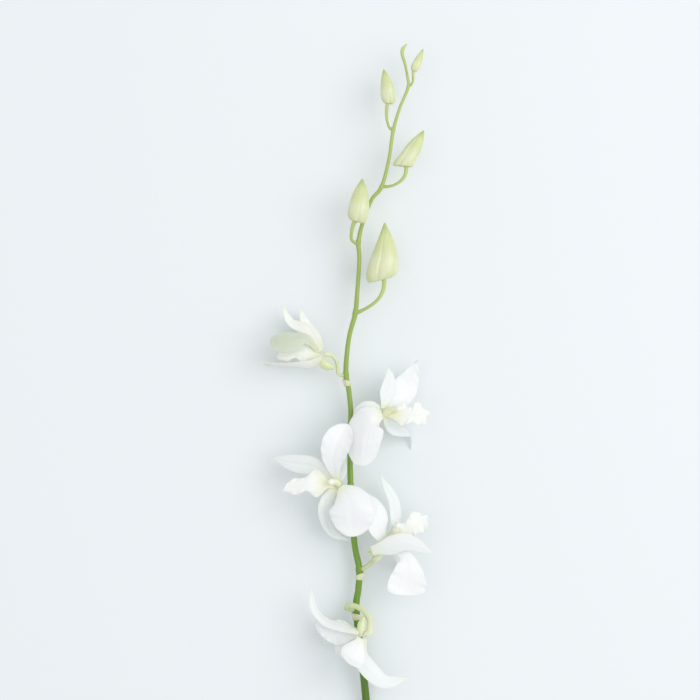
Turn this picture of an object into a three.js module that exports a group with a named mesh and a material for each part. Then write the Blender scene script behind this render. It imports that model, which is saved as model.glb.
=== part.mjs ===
// A cut dendrobium orchid spray lying on a table: one tapering flower stem with five open flowers,
// five buds and a growing tip. Millimetres. The stem runs along +Y from its cut end to its tip,
// and +Z is up from the surface that the spray lies on.
import * as THREE from "three";

// Thickness of the flesh of petals and bracts.
const PETAL_THICKNESS = 0.8;
const LIP_THICKNESS = 0.7;
const BRACT_THICKNESS = 0.5;

// How finely the solids are cut.
const STEM_SIDES = 10;
const STALK_SIDES = 8;
const BUD_SIDES = 12;
const BLADE_SIDES = 12;
const STALK_ROWS = 10;
const BUD_ROWS = 12;
const BLADE_ROWS = 9;
const LIP_ROWS = 12;
const BRACT_ROWS = 6;
const LAST_BLADE_ROW = 0.975;

// Stem stations from the cut end to the growing tip: x, y, z and radius. The stem bends a little
// at each joint, where a flower or a bud leaves it.
const STEM = [
  [12.5, 0, 2.5, 2.45],
  [12.2, 40, 3.8, 2.3],
  [10.6, 75, 5, 2.15],
  [8.3, 105, 6.2, 2],
  [6.2, 125, 7.2, 1.9],
  [3.3, 150.8, 8.6, 1.85],
  [4.4, 162, 9.2, 1.7],
  [4.9, 172.1, 9.8, 1.75],
  [2.6, 184, 10.5, 1.6],
  [0.8, 202, 11.4, 1.55],
  [0.3, 216, 12, 1.6],
  [0, 231, 12.6, 1.45],
  [0.2, 245.5, 13.2, 1.5],
  [0.4, 255, 13.4, 1.35],
  [-0.7, 266.5, 13.9, 1.3],
  [-2.1, 274, 14.1, 1.4],
  [-1.7, 284, 14.4, 1.25],
  [-0.2, 295, 14.6, 1.2],
  [2.8, 306.5, 15, 1.3],
  [4, 320, 15.2, 1.1],
  [4.9, 335, 15.5, 1.1],
  [4.4, 342.9, 15.7, 1.2],
  [6.6, 353, 15.9, 1.05],
  [11.2, 365, 16.2, 1],
  [16.4, 371.8, 16.5, 1.05],
  [20.2, 386, 16.8, 0.9],
  [22.4, 400.6, 17.1, 0.95],
  [25.8, 412.5, 17.4, 0.8],
  [30.2, 423.5, 17.8, 0.85],
  [29.6, 430, 18, 0.7],
];
const CUT_SLANT = 0.5;
const CUT_SLANT_REACH = 0.01;
const BUD_SLANT_REACH = 0.3;
const TIP_BUD = [
  [29.4, 431.1, 18, 0.65],
  [28.3, 436.2, 18.1, 0.75],
  [27.1, 440.2, 18.2, 0.9],
  [27.4, 443.2, 18.2, 1],
  [29.5, 445.9, 18.2, 0.35],
];

// Buds, oldest first. Each body runs from its chin to its pointed tip, and each stalk from the stem.
const BUDS = [
  {
    body: [
      [15.9, 323.2, 17.6, 7.4],
      [16.7, 328, 17.8, 8],
      [17.8, 334.5, 18, 7.1],
      [18.3, 343, 18, 4.5],
      [18, 353, 18, 0.3],
    ],
    slant: 0.42,
    stalk: [
      [4.7, 306.9, 15.2, 0.8],
      [10.2, 309.7, 16, 0.8],
      [14.6, 313.4, 16.8, 0.9],
      [17.1, 317.8, 17.4, 1.05],
      [17.7, 322.6, 17.8, 1.2],
    ],
  },
  {
    body: [
      [3.4, 353.3, 22.2, 4.5],
      [4, 357.2, 22.2, 5.4],
      [4.7, 362.4, 22.2, 5.2],
      [5.6, 368.8, 22, 3.7],
      [6.4, 375.6, 21.6, 0.3],
    ],
    slant: -0.1,
    stalk: [
      [2.5, 342.9, 16, 0.8],
      [0.7, 344.6, 17, 0.8],
      [0.9, 348.6, 18.8, 0.95],
      [1.9, 352.4, 20.8, 1.15],
    ],
  },
  {
    body: [
      [27.2, 382.3, 18, 5.6],
      [29.8, 386.6, 18, 4.4],
      [32.8, 391.4, 18, 4],
      [35.8, 396.4, 18, 2.5],
      [38.3, 400.9, 18, 0.25],
    ],
    slant: 0.46,
    stalk: [
      [18.2, 371.9, 16.6, 0.7],
      [22, 372.4, 17, 0.7],
      [25.7, 374.3, 17.3, 0.8],
      [28.4, 377.4, 17.6, 0.95],
      [29.2, 381.3, 17.9, 1.05],
    ],
  },
  {
    body: [
      [20, 414.8, 18, 3],
      [19.7, 418, 18, 3.7],
      [19.2, 422.6, 18, 3.6],
      [18.4, 428, 18, 2.3],
      [17.4, 432.7, 18, 0.25],
    ],
    slant: -0.2,
    stalk: [
      [20.7, 402.2, 17.3, 0.65],
      [19.3, 405.8, 17.5, 0.65],
      [19, 410, 17.8, 0.85],
      [19.4, 414.2, 18, 1.05],
    ],
  },
  {
    body: [
      [33.1, 431.6, 18, 1.8],
      [34, 434, 18, 2.3],
      [35.3, 437, 18, 2.2],
      [36.7, 440.3, 18, 1.3],
      [38, 443.3, 18, 0.2],
    ],
    slant: 0,
    stalk: [
      [31.6, 424.6, 17.8, 0.6],
      [32.7, 426.8, 17.9, 0.6],
      [32.8, 431, 18, 0.75],
    ],
  },
];
const BUD_DEPTH = 0.78;

// Flowers, lowest first. Routes of petals, lip and column are measured from the heart of the flower.
// faces: the way the inner side looks at the foot, and turned the way it looks at the tip.
// curl: how tightly the blade rolls inwards, per millimetre. claw: the width of the narrow foot.
const FLOWERS = [
  {
    heart: [6.2, 139.8, 22],
    stalk: [
      [0.4, 151.4, 9.4, 1.3],
      [-2, 152.8, 12, 1.4],
      [0.4, 154.2, 15, 1.4],
      [5.6, 152.6, 17.2, 1.4],
      [10, 148, 19.2, 1.5],
      [10.4, 143.2, 20.8, 1.6],
      [9.6, 140.6, 21.9, 1.7],
    ],
    column: [
      [1, 9.2, -1.8, 0.8],
      [0, 5, -2, 2.3],
      [-0.8, 0.4, -2.2, 1.8],
      [-3.8, -1.6, -6.8, 1.3],
    ],
    lip: {
      route: [[-1.6, -3.8, -3.6], [-6, -6.8, -6.4], [-9.6, -9.4, -8.4], [-12.6, -12, -9.6]],
      side: 11, middle: 17, claw: 3, faces: [-0.3, -0.2, -0.93], curl: [0.06, 0.02], ruffle: 1,
    },
    petals: {
      dorsal_sepal: {
        route: [[-3.2, 2.4, -0.2], [-11.5, 4, -1.8], [-19, 6.6, -3.5], [-25, 13.5, -5], [-26.8, 25.4, -6]],
        width: 6.6, claw: 4, widest: 0.3, tip: 1.1, faces: [-0.2, -0.75, -0.6], curl: 0.06,
      },
      left_sepal: {
        route: [
          [0.4, -3.6, 0.2], [-0.4, -11, 0.4], [5, -19, 1.4], [12.6, -24.6, -1], [24.4, -22.6, -3.5],
        ],
        width: 9.4, claw: 5, widest: 0.4, tip: 1, faces: [-0.2, -0.2, -0.95], curl: 0.04,
      },
      right_sepal: {
        route: [[-3.2, 2.4, -5], [-9, 0.5, -10], [-16, -3, -14], [-21, -8, -18]],
        width: 8, claw: 4, widest: 0.5, tip: 1, faces: [-0.2, -0.4, -0.9], curl: 0.03,
      },
      left_petal: {
        route: [[-1.2, -3, 2.6], [-3.2, -6.6, 6], [-5, -10.4, 11], [-6, -12.4, 18]],
        width: 14, claw: 4, widest: 0.5, tip: 0.5, faces: [-0.5, -0.75, -0.45], curl: 0.05,
      },
      right_petal: {
        route: [[-4, 0.4, -2.4], [-9, 0, -5.4], [-16.5, 1.4, -8], [-24.6, 3.8, -9.6]],
        width: 13.5, claw: 4.5, widest: 0.45, tip: 0.9, faces: [-0.1, -0.35, -0.93], curl: 0.03, ruffle: 0.7,
      },
    },
  },
  {
    heart: [19.8, 185.6, 20],
    stalk: [
      [7.3, 173, 10.6, 1.1],
      [10.6, 175.6, 12.6, 1.3],
      [12.6, 177.6, 15, 1.5],
      [13.8, 179, 17.4, 1.8],
    ],
    column: [
      [-10.6, -4.4, 0.4, 0.9],
      [-6, -2.8, 0, 2.2],
      [-1.4, -0.6, -0.6, 1.9],
      [1.8, 3.6, 1.6, 1.7],
      [4.6, 10.6, 5.2, 1.6],
    ],
    lip: {
      route: [[4.2, 0.6, 0.2], [9, 6.6, 1.2], [14, 11.2, 1], [20.6, 15.4, -1.5]],
      side: 15, middle: 13, claw: 3, faces: [-0.1, 0.1, 1], curl: [0.13, 0.02], ruffle: 0.9,
    },
    petals: {
      dorsal_sepal: {
        route: [[0.4, 3.4, -2], [3.6, 11, -3.4], [3, 22, -4.4], [-0.8, 30, -4.4], [-4.6, 37.7, -4]],
        width: 7, claw: 4.5, widest: 0.4, tip: 1.1, faces: [0.5, 0, 0.85], curl: 0.06,
      },
      left_sepal: {
        route: [[-8.8, -2.4, 3.8], [-1, -0.2, 5.8], [9.5, 2.2, 6.4], [23, -4, 2.5]],
        width: 10.4, claw: 5, widest: 0.36, tip: 1, faces: [0.1, 0.2, -1], curl: 0.05,
      },
      right_sepal: {
        route: [[1.6, -2.6, -2.8], [6, -6, -8], [10, -11, -13], [13, -17, -17.8]],
        width: 8, claw: 3.5, widest: 0.5, tip: 1, faces: [0.4, -0.1, 0.9], curl: 0.03,
      },
      left_petal: {
        route: [[-3.2, 1.8, 1.2], [-5.4, 9, 2.6], [-7, 18.5, 2.6], [-13.6, 28.4, 0]],
        width: 12, claw: 4.5, widest: 0.45, tip: 1, faces: [0.35, 0.05, 0.93], curl: 0.04, ruffle: 0.3,
      },
      right_petal: {
        route: [[2.6, -2.8, 0.8], [8.4, -5, 2.6], [10, -12, 4.4], [9, -25.4, 2.6]],
        width: 20.5, claw: 2.4, widest: 0.86, tip: 0.36, faces: [0.1, 0.1, 1], curl: 0.02, ruffle: 0.4,
      },
    },
  },
  {
    heart: [-6.2, 217.8, 22],
    stalk: [
      [-2.1, 212.4, 12.6, 1.1],
      [-5, 210.4, 13.6, 1.2],
      [-7.6, 212.2, 15.4, 1.4],
      [-7, 215.2, 17.6, 1.7],
    ],
    column: [
      [0.6, -1.6, -1.6, 1.2],
      [-0.1, 0.1, 0.6, 1.8],
      [-1.1, 1.3, 3.6, 1.6],
      [-3.4, 1.6, 7, 1.5],
    ],
    lip: {
      route: [[-3.2, -1.2, 1.2], [-9, 0.2, 2.8], [-17, 0, 3.6], [-28.3, -3.2, 2]],
      side: 15, middle: 9, claw: 3, faces: [0.05, 0.15, 1], curl: [0.14, 0.02], ruffle: 0.6,
    },
    petals: {
      dorsal_sepal: {
        route: [[1.2, 3, -1.4], [1.8, 8, -2], [0.4, 16, -3.5]],
        width: 6.6, claw: 4, widest: 0.45, tip: 0.9, faces: [-0.4, -0.2, 0.9], curl: 0.05,
      },
      left_sepal: {
        route: [[-3.4, 1, -1.4], [-12, 8.6, -2.4], [-22, 10.4, -4], [-34, 12.6, -7]],
        width: 10.4, claw: 4.5, widest: 0.5, tip: 0.9, faces: [0.1, -0.25, 0.95], curl: 0.04,
      },
      right_sepal: {
        route: [[-1.7, -3.4, -1.4], [-6, -9, -3], [-6.6, -17, -6], [-2.8, -26, -9], [5.5, -30.5, -11]],
        width: 7.6, claw: 4.5, widest: 0.35, tip: 1, faces: [0.3, 0.1, 0.95], curl: 0.04,
      },
      left_petal: {
        route: [[-1.8, 3.4, 1], [-2.4, 11, 3.2], [-0.4, 21, 4], [5, 31, 1.5]],
        width: 16, claw: 4, widest: 0.6, tip: 0.6, faces: [-0.35, -0.3, 0.9], curl: 0.07, ruffle: 0.3,
      },
      right_petal: {
        route: [[2.8, -2.2, 1.6], [5.4, -7.5, 4.5], [7, -15.5, 5.5], [8.4, -27, 3]],
        width: 23.5, claw: 3, widest: 0.5, tip: 0.5, faces: [-0.15, 0.1, 1], curl: -0.025, ruffle: 0.4,
        shoulder: 1,
      },
    },
  },
  {
    heart: [17.7, 254.8, 20],
    stalk: [
      [2.3, 244.8, 13.4, 1.1],
      [7, 243.8, 14, 1.2],
      [11.6, 247, 15.4, 1.4],
      [14.4, 251.2, 17.2, 1.7],
    ],
    column: [
      [-1, -3.2, 0.6, 1],
      [0.5, -0.6, 0.9, 1.8],
      [3.4, 1.3, 2.4, 1.6],
      [7, 2, 4.6, 1.5],
    ],
    lip: {
      route: [[3.4, -2.2, 0.4], [9, -1.6, 2], [15.5, -1.2, 2.2], [23.8, -0.2, -0.5]],
      side: 13, middle: 14, claw: 3, faces: [0, 0.4, 0.9], curl: [0.11, 0.02], ruffle: 0.9,
    },
    petals: {
      dorsal_sepal: {
        route: [[-0.4, 3.2, -0.4], [1.4, 10, -0.6], [2.6, 17, 0], [2, 23.5, 1.6]],
        width: 10, claw: 4, widest: 0.4, tip: 1.1, faces: [0.6, -0.1, 0.8], curl: 0.05,
      },
      left_sepal: {
        route: [[-3, 1.4, 0.2], [-7.5, 1.6, 1.8], [-12, -1.4, 2], [-15, -9, 0.4]],
        width: 10, claw: 5, widest: 0.4, tip: 0.8, faces: [0.3, -0.2, -0.93], curl: 0.03,
      },
      right_sepal: {
        route: [
          [0.8, -3.8, -2.4], [3.6, -8, -6.4], [8.4, -10, -11], [13.4, -12, -15.5], [14.4, -20.5, -19.8],
        ],
        width: 9, claw: 4, widest: 0.35, tip: 1.2, faces: [0.2, 0.4, 0.9], turned: [0.6, 0.75, 0.1],
        curl: 0.04,
      },
      left_petal: {
        route: [[-2.4, -0.4, 3], [-8, -4, 5.8], [-11.2, -13.6, 7.4], [-12.2, -27.4, 5.8]],
        width: 20.5, claw: 5, widest: 0.45, tip: 0.42, faces: [0.4, 0.15, -0.9], curl: 0.03, ruffle: 0.3,
        shoulder: 1.2,
      },
      right_petal: {
        route: [[2.9, 2.4, -3], [7.6, 8.2, -7], [12, 15, -8.8], [17.6, 27, -5]],
        width: 15.5, claw: 3.5, widest: 0.42, tip: 1.5, faces: [0.2, -0.35, 0.9], curl: 0.03, ruffle: 0.4,
      },
    },
  },
  {
    heart: [-14.6, 284.4, 18],
    stalk: [
      [-4.2, 273.9, 14.2, 0.9],
      [-6.3, 275, 14.8, 0.9],
      [-6.6, 279.6, 15.6, 1],
      [-8.6, 283.6, 16.8, 1.1],
      [-11.8, 284.9, 17.8, 1.3],
    ],
    column: [
      [6.4, -6.8, -0.4, 0.9],
      [2, -5, -1, 2.7],
      [-0.8, -2, -1.4, 1.9],
      [-3.4, 0.6, -1.8, 1.3],
      [-6.4, 2.2, -1.8, 1.2],
    ],
    lip: {
      route: [[-3.4, -1.2, 1.4], [-9.5, 1, 1.6], [-16, 1, 1.6], [-23.4, -1.4, 1]],
      side: 10, middle: 8.5, claw: 3, faces: [0, 0.3, 0.95], curl: [0.09, 0.04], ruffle: 0.3,
    },
    petals: {
      dorsal_sepal: {
        route: [[-1.2, 3, -7.6], [-4, 9, -9.6], [-8, 15, -11], [-11.8, 24.8, -10.4]],
        width: 9, claw: 5.5, widest: 0.32, tip: 1.2, faces: [-0.4, -0.45, -0.8], curl: 0.05,
      },
      left_sepal: {
        route: [[0.4, -4.6, 3.4], [-7, -5, 5], [-19, -4.7, 4.5], [-34.5, -3.7, 0]],
        width: 7.4, claw: 6, widest: 0.16, tip: 1.6, faces: [0.1, 0.75, -0.65], turned: [0, 1, 0.1],
        curl: 0.04,
      },
      right_sepal: {
        route: [[-1.8, -5.4, -3.2], [-9, -5.6, -7], [-19, -5.6, -12.5], [-31, -4.8, -17.8]],
        width: 9, claw: 5, widest: 0.35, tip: 1, faces: [0, 1, 0], curl: 0.03,
      },
      left_petal: {
        route: [[-3.8, 5.2, 3], [-8.5, 8.4, 5], [-16, 7.2, 7], [-26.7, 6.6, 5.6]],
        width: 11.6, claw: 2.2, widest: 0.72, tip: 0.55, faces: [0.1, -0.4, -0.9], curl: 0.05,
      },
      right_petal: {
        route: [[-2.8, 2.8, -4.8], [-5, 8, -5.8], [-9.4, 14, -6.2], [-16.4, 17.4, -6.4], [-20.8, 26, -5.6]],
        width: 8, claw: 5, widest: 0.3, tip: 1, faces: [-0.4, -0.5, -0.75], curl: 0.05,
      },
    },
  },
];

// Bracts that clasp the stem: how far from the cut end each one starts, and the side it covers.
// One stands below every flower, and two longer sheaths cover joints of the bare lower stem.
const BRACTS = [
  { from: 146, side: [-1, 0, 0.3] },
  { from: 167, side: [1, 0, 0.3] },
  { from: 206.2, side: [-1, 0, 0] },
  { from: 238.6, side: [1, 0, 0] },
  { from: 268.4, side: [-1, 0, 0] },
];
const BRACT_LENGTH = 4;
const CLASP_GAP = 0.5;
const BRACT_WRAP = 1.9;
const SHEATHS = [
  { from: 26, side: [1, 0, 0.4] },
  { from: 74, side: [-1, 0, 0.4] },
];
const SHEATH_LENGTH = 15;
const SHEATH_WRAP = 2.7;
const PLACE_STEP = 0.0005;

const COLOURS = {
  stem: 0x7f9f3c,
  stalk: 0xb4c87a,
  bud: 0xd6dda6,
  petal: 0xf4f6f2,
  lip: 0xf3f5e6,
  column: 0xe4ebb4,
  bract: 0xb9bf86,
};

const spray = new THREE.Group();
spray.name = "dendrobium_spray";

const mix = (a, b, t) => a + (b - a) * t;
const smooth = (t) => t * t * (3 - 2 * t);
const bump = (u, centre, spread) => Math.exp(-(((u - centre) / spread) ** 2));

// A smooth route through stations, with any fourth number carried along as a radius.
// u runs from 0 to 1 by the distance travelled.
function routeThrough(stations) {
  const curve = (points) => new THREE.CatmullRomCurve3(points, false, "catmullrom", 0.5);
  const line = curve(stations.map(([x, y, z]) => new THREE.Vector3(x, y, z)));
  const radii = curve(stations.map((station) => new THREE.Vector3(station[3] ?? 0, 0, 0)));
  return {
    point: (u) => line.getPointAt(u),
    heading: (u) => line.getTangentAt(u),
    radius: (u) => radii.getPoint(line.getUtoTmapping(u)).x,
  };
}

// A closed solid from rings of equal size. The first ring is closed by strips from side to side,
// which stay inside a curled section, and the last by a fan to a point.
function addSolid(name, colour, rings, lastPoint) {
  const sides = rings[0].length;
  const points = [...rings.flat(), lastPoint];
  const last = points.length - 1;
  const lastRing = (rings.length - 1) * sides;
  const faces = [];
  for (let side = 0; side < sides; side += 1) {
    const next = (side + 1) % sides;
    for (let row = 0; row < rings.length - 1; row += 1) {
      const low = row * sides;
      const high = low + sides;
      faces.push(low + side, low + next, high + next);
      faces.push(low + side, high + next, high + side);
    }
    faces.push(last, lastRing + side, lastRing + next);
  }
  for (let side = 0; side < sides / 2; side += 1) {
    const opposite = (sides - side) % sides;
    const before = sides - side - 1;
    if (opposite !== side) faces.push(side + 1, side, opposite);
    if (before !== side + 1) faces.push(side + 1, opposite, before);
  }
  const solid = new THREE.BufferGeometry();
  solid.setAttribute(
    "position",
    new THREE.Float32BufferAttribute(points.flatMap((point) => point.toArray()), 3),
  );
  solid.setIndex(faces);
  solid.computeVertexNormals();
  const finish = new THREE.MeshStandardMaterial({ color: colour, roughness: 0.6, metalness: 0 });
  const mesh = new THREE.Mesh(solid, finish);
  mesh.name = name;
  spray.add(mesh);
}

// A round or oval stalk, bud or column that follows stations of x, y, z and radius.
// slant tips the first end, and its effect is gone at slantReach along the way.
function addRound(name, colour, stations, sides, rows, depth = 1, slant = 0, slantReach = 1) {
  const route = routeThrough(stations);
  const rings = [];
  let across = new THREE.Vector3(1, 0, 0.01);
  for (let row = 0; row < rows; row += 1) {
    const u = row / (rows - 1);
    const heading = route.heading(u);
    const tipping = slant * Math.max(1 - u / slantReach, 0);
    across = across.clone().addScaledVector(heading, -across.dot(heading)).normalize();
    const up = new THREE.Vector3().crossVectors(across, heading);
    const ring = [];
    for (let side = 0; side < sides; side += 1) {
      const turn = (2 * Math.PI * side) / sides;
      const sideways = route.radius(u) * Math.cos(turn);
      const point = route.point(u);
      point.addScaledVector(across, sideways);
      point.addScaledVector(up, -route.radius(u) * depth * Math.sin(turn));
      point.addScaledVector(heading, tipping * sideways);
      ring.push(point);
    }
    rings.push(ring);
  }
  addSolid(name, colour, rings, route.point(1));
}

// A thin blade along a route. halfWidth(u) is its outline, curl(u) its roll per millimetre, and
// inner(u) the way that its inner side looks.
function addBlade(name, colour, stations, halfWidth, curl, inner, thickness, ruffle, rows) {
  const route = routeThrough(stations);
  const rings = [];
  for (let row = 0; row < rows; row += 1) {
    const u = LAST_BLADE_ROW * (1 - (1 - row / (rows - 1)) ** 1.3);
    const heading = route.heading(u);
    const across = new THREE.Vector3().crossVectors(heading, inner(u)).normalize();
    const up = new THREE.Vector3().crossVectors(across, heading);
    const half = halfWidth(u);
    const roll = curl(u) * half;
    const ring = [];
    for (let side = 0; side < BLADE_SIDES; side += 1) {
      const turn = (-2 * Math.PI * side) / BLADE_SIDES;
      const reach = Math.cos(turn);
      const angle = roll * reach;
      const sideways = (half * Math.sin(angle)) / roll;
      const rise = (half * (1 - Math.cos(angle))) / roll;
      const wave = ruffle * smooth(u) * reach ** 2 * Math.sin(14 * u + 2 * reach);
      const flesh = (thickness / 2) * Math.sin(turn);
      const point = route.point(u);
      point.addScaledVector(across, sideways - flesh * Math.sin(angle));
      point.addScaledVector(up, rise + flesh * Math.cos(angle) + wave);
      ring.push(point);
    }
    rings.push(ring);
  }
  addSolid(name, colour, rings, route.point(1));
}

// The outline of a petal or sepal: its claw, the widest place, then a round or pointed tip.
function petalOutline({ width, claw, widest, tip, shoulder = 2 }) {
  return (u) => {
    const opening = Math.sin((Math.PI / 2) * Math.min(u / widest, 1)) ** shoulder;
    const closing = (1 - Math.max((u - widest) / (1 - widest), 0) ** 2) ** tip;
    return (mix(claw, width, opening) / 2) * closing;
  };
}

// The outline of a lip: two side lobes near its foot, a waist, and a broad middle lobe.
function lipOutline({ side, middle, claw }) {
  return (u) => {
    const lobes = Math.max(side - claw, 0) * bump(u, 0.36, 0.15) + (middle - claw) * bump(u, 0.76, 0.19);
    return ((claw + lobes) / 2) * Math.sqrt(1 - u ** 8);
  };
}

const fromHeart = (route, heart) =>
  route.map(([x, y, z, radius]) => [x + heart[0], y + heart[1], z + heart[2], radius]);

// A bract or sheath that clasps the stem from one side and narrows to a tip.
function addClasp(name, from, length, side, wrap) {
  const stem = routeThrough(STEM);
  let place = 0;
  while (stem.point(place).y < from) place += PLACE_STEP;
  const radius = stem.radius(place) + CLASP_GAP + BRACT_THICKNESS;
  const heading = stem.heading(place);
  const outward = new THREE.Vector3(...side);
  outward.addScaledVector(heading, -outward.dot(heading)).normalize();
  const foot = stem.point(place).addScaledVector(outward, radius);
  const tip = foot.clone().addScaledVector(heading, length);
  const inner = outward.clone().negate();
  addBlade(
    name, COLOURS.bract, [foot.toArray(), tip.toArray()],
    (u) => radius * wrap * (1 - u ** 2) ** 0.7, () => 1 / radius,
    () => inner, BRACT_THICKNESS, 0, BRACT_ROWS,
  );
}

addRound(
  "flower_stem", COLOURS.stem, STEM, STEM_SIDES, 2 * STEM.length,
  1, CUT_SLANT, CUT_SLANT_REACH,
);
addRound("tip_bud", COLOURS.bud, TIP_BUD, STALK_SIDES, STALK_ROWS);

BUDS.forEach(({ body, slant, stalk }, index) => {
  const name = `bud_${index + 1}`;
  addRound(name, COLOURS.bud, body, BUD_SIDES, BUD_ROWS, BUD_DEPTH, slant, BUD_SLANT_REACH);
  addRound(`${name}_stalk`, COLOURS.stalk, stalk, STALK_SIDES, STALK_ROWS);
});

FLOWERS.forEach(({ heart, stalk, column, lip, petals }, index) => {
  const name = `flower_${index + 1}`;
  addRound(`${name}_stalk`, COLOURS.stalk, stalk, STALK_SIDES, STALK_ROWS);
  addRound(`${name}_column`, COLOURS.column, fromHeart(column, heart), STALK_SIDES, STALK_ROWS);
  const lipCurl = (u) => mix(...lip.curl, smooth(Math.min(u / 0.7, 1)));
  const lipInner = new THREE.Vector3(...lip.faces);
  addBlade(
    `${name}_lip`, COLOURS.lip, fromHeart(lip.route, heart), lipOutline(lip), lipCurl,
    () => lipInner, LIP_THICKNESS, lip.ruffle, LIP_ROWS,
  );
  for (const [petal, shape] of Object.entries(petals)) {
    const foot = new THREE.Vector3(...shape.faces);
    const tip = new THREE.Vector3(...(shape.turned ?? shape.faces));
    addBlade(
      `${name}_${petal}`, COLOURS.petal, fromHeart(shape.route, heart), petalOutline(shape),
      () => shape.curl, (u) => foot.clone().lerp(tip, smooth(u)),
      PETAL_THICKNESS, shape.ruffle ?? 0, BLADE_ROWS,
    );
  }
});

BRACTS.forEach(({ from, side }, index) => {
  addClasp(`bract_${index + 1}`, from, BRACT_LENGTH, side, BRACT_WRAP);
});
SHEATHS.forEach(({ from, side }, index) => {
  addClasp(`sheath_${index + 1}`, from, SHEATH_LENGTH, side, SHEATH_WRAP);
});

// The frame: the middle of the spray's outline on the table is the origin.
const extent = new THREE.Box3().setFromObject(spray);
const middle = extent.getCenter(new THREE.Vector3());
spray.position.set(-middle.x, -middle.y, -extent.min.z);

export default spray;
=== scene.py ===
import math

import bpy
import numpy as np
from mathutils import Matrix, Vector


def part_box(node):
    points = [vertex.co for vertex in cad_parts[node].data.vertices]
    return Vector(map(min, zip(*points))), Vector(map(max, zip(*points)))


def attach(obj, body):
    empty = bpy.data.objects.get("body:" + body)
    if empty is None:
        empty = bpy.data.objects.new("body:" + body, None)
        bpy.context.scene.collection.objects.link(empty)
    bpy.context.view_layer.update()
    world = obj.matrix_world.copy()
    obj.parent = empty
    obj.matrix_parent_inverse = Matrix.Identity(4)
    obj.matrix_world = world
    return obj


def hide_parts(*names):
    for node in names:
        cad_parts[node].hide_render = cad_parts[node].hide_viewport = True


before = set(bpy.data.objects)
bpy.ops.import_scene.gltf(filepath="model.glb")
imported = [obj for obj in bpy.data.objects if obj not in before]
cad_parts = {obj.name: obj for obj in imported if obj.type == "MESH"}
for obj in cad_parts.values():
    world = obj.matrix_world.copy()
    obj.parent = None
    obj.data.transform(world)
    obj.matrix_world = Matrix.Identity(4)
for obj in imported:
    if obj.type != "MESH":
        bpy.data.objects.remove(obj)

# %% [markdown]
# A dendrobium spray, piece by piece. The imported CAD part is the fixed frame: every petal, bud and
# stalk below grows along the same route as its CAD node and takes that node's place, only finer.
# All lengths are in millimetres until a mesh is made. The spray was drawn from its cut end, so one
# constant says where the row's origin lies in that drawing.

MM = 0.001
ORIGIN = np.array((-3.15, 222.44, 0.09))
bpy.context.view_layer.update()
print("CAD nodes:", len(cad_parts))

# %% [markdown]
# Everything that grows here is a section carried along a route: a round one for stems and buds, a
# thin lens for petals. A Catmull-Rom curve passes through every station it is given, which suits a
# plant whose joints are known places. The curve is read at equal steps of travelled length, so that
# "halfway" means the same on a short lip and on a long stem.

# %% Routes
SAMPLES_PER_SPAN = 40


def follow(stations, u):
    """Points, headings and radii at the fractions u of a smooth route."""
    known = np.array([(*station, 0)[:4] for station in stations], float)
    known = np.vstack((2 * known[0] - known[1], known, 2 * known[-1] - known[-2]))
    t = np.linspace(0, 1, SAMPLES_PER_SPAN, endpoint=False)[:, None]
    line = []
    for a, b, c, d in zip(known, known[1:], known[2:], known[3:]):
        bend = (2 * a - 5 * b + 4 * c - d) * t**2 + (3 * b - a - 3 * c + d) * t**3
        line.append((2 * b + (c - a) * t + bend) / 2)
    line = np.vstack((*line, known[-2:-1]))
    steps = np.linalg.norm(np.diff(line[:, :3], axis=0), axis=1)
    travelled = np.append(0, np.cumsum(steps)) / steps.sum()

    def read(at):
        return np.column_stack([np.interp(at, travelled, line[:, k]) for k in range(4)])

    place = read(u)
    heading = (read(np.minimum(u + 0.004, 1)) - read(np.maximum(u - 0.004, 0)))[:, :3]
    heading /= np.linalg.norm(heading, axis=1)[:, None]
    return place[:, :3], heading, place[:, 3]


def mix(a, b, t):
    return a + (b - a) * t


def smooth(t):
    t = np.clip(t, 0, 1)
    return t * t * (3 - 2 * t)


def bump(x, centre, spread):
    return np.exp(-(((x - centre) / spread) ** 2))


def unit(vectors):
    return vectors / np.linalg.norm(vectors, axis=-1, keepdims=True)


# %% [markdown]
# A skin is rings of points joined by quads and closed by a fan at each end, so every piece is one
# watertight body. Its UV map says how far along (y) and how far across (x) each point lies. The
# finishes read that map, which keeps veins and streaks running with the growth.

# %% Skins
def grow(name, rings, first, last, across, along, finish, node=None):
    rows, sides = rings.shape[:2]
    points = (np.vstack((rings.reshape(-1, 3), first, last)) - ORIGIN) * MM
    faces, corners = [], []

    def corner(row, side):
        return across[side], along[row]

    for row in range(rows - 1):
        for side in range(sides):
            after = (side + 1) % sides
            low, high = row * sides, (row + 1) * sides
            faces.append((low + side, low + after, high + after, high + side))
            corners += [corner(row, side), corner(row, side + 1)]
            corners += [corner(row + 1, side + 1), corner(row + 1, side)]
    for side in range(sides):
        after = (side + 1) % sides
        faces.append((rows * sides, after, side))
        corners += [(0.5, 0), corner(0, side + 1), corner(0, side)]
        faces.append((rows * sides + 1, (rows - 1) * sides + side, (rows - 1) * sides + after))
        corners += [(0.5, 1), corner(rows - 1, side), corner(rows - 1, side + 1)]
    skin = bpy.data.meshes.new(name)
    skin.from_pydata(points.tolist(), [], faces)
    growth = skin.uv_layers.new(name="growth")
    growth.data.foreach_set("uv", np.array(corners, np.float32).ravel())
    skin.shade_smooth()
    skin.materials.append(finish)
    piece = bpy.data.objects.new(name, skin)
    bpy.context.scene.collection.objects.link(piece)
    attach(piece, "root")
    if node:
        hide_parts(node)
    return piece


# %% [markdown]
# Round pieces carry a circle along their route. The circle's frame is handed on from ring to ring
# with as little turning as possible, which avoids the twists that a fixed "up" would give on a
# stalk that loops round. shape(turn, u, row) scales the radius, so seams, ribs and swellings are
# real geometry and show in the outline.

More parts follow.
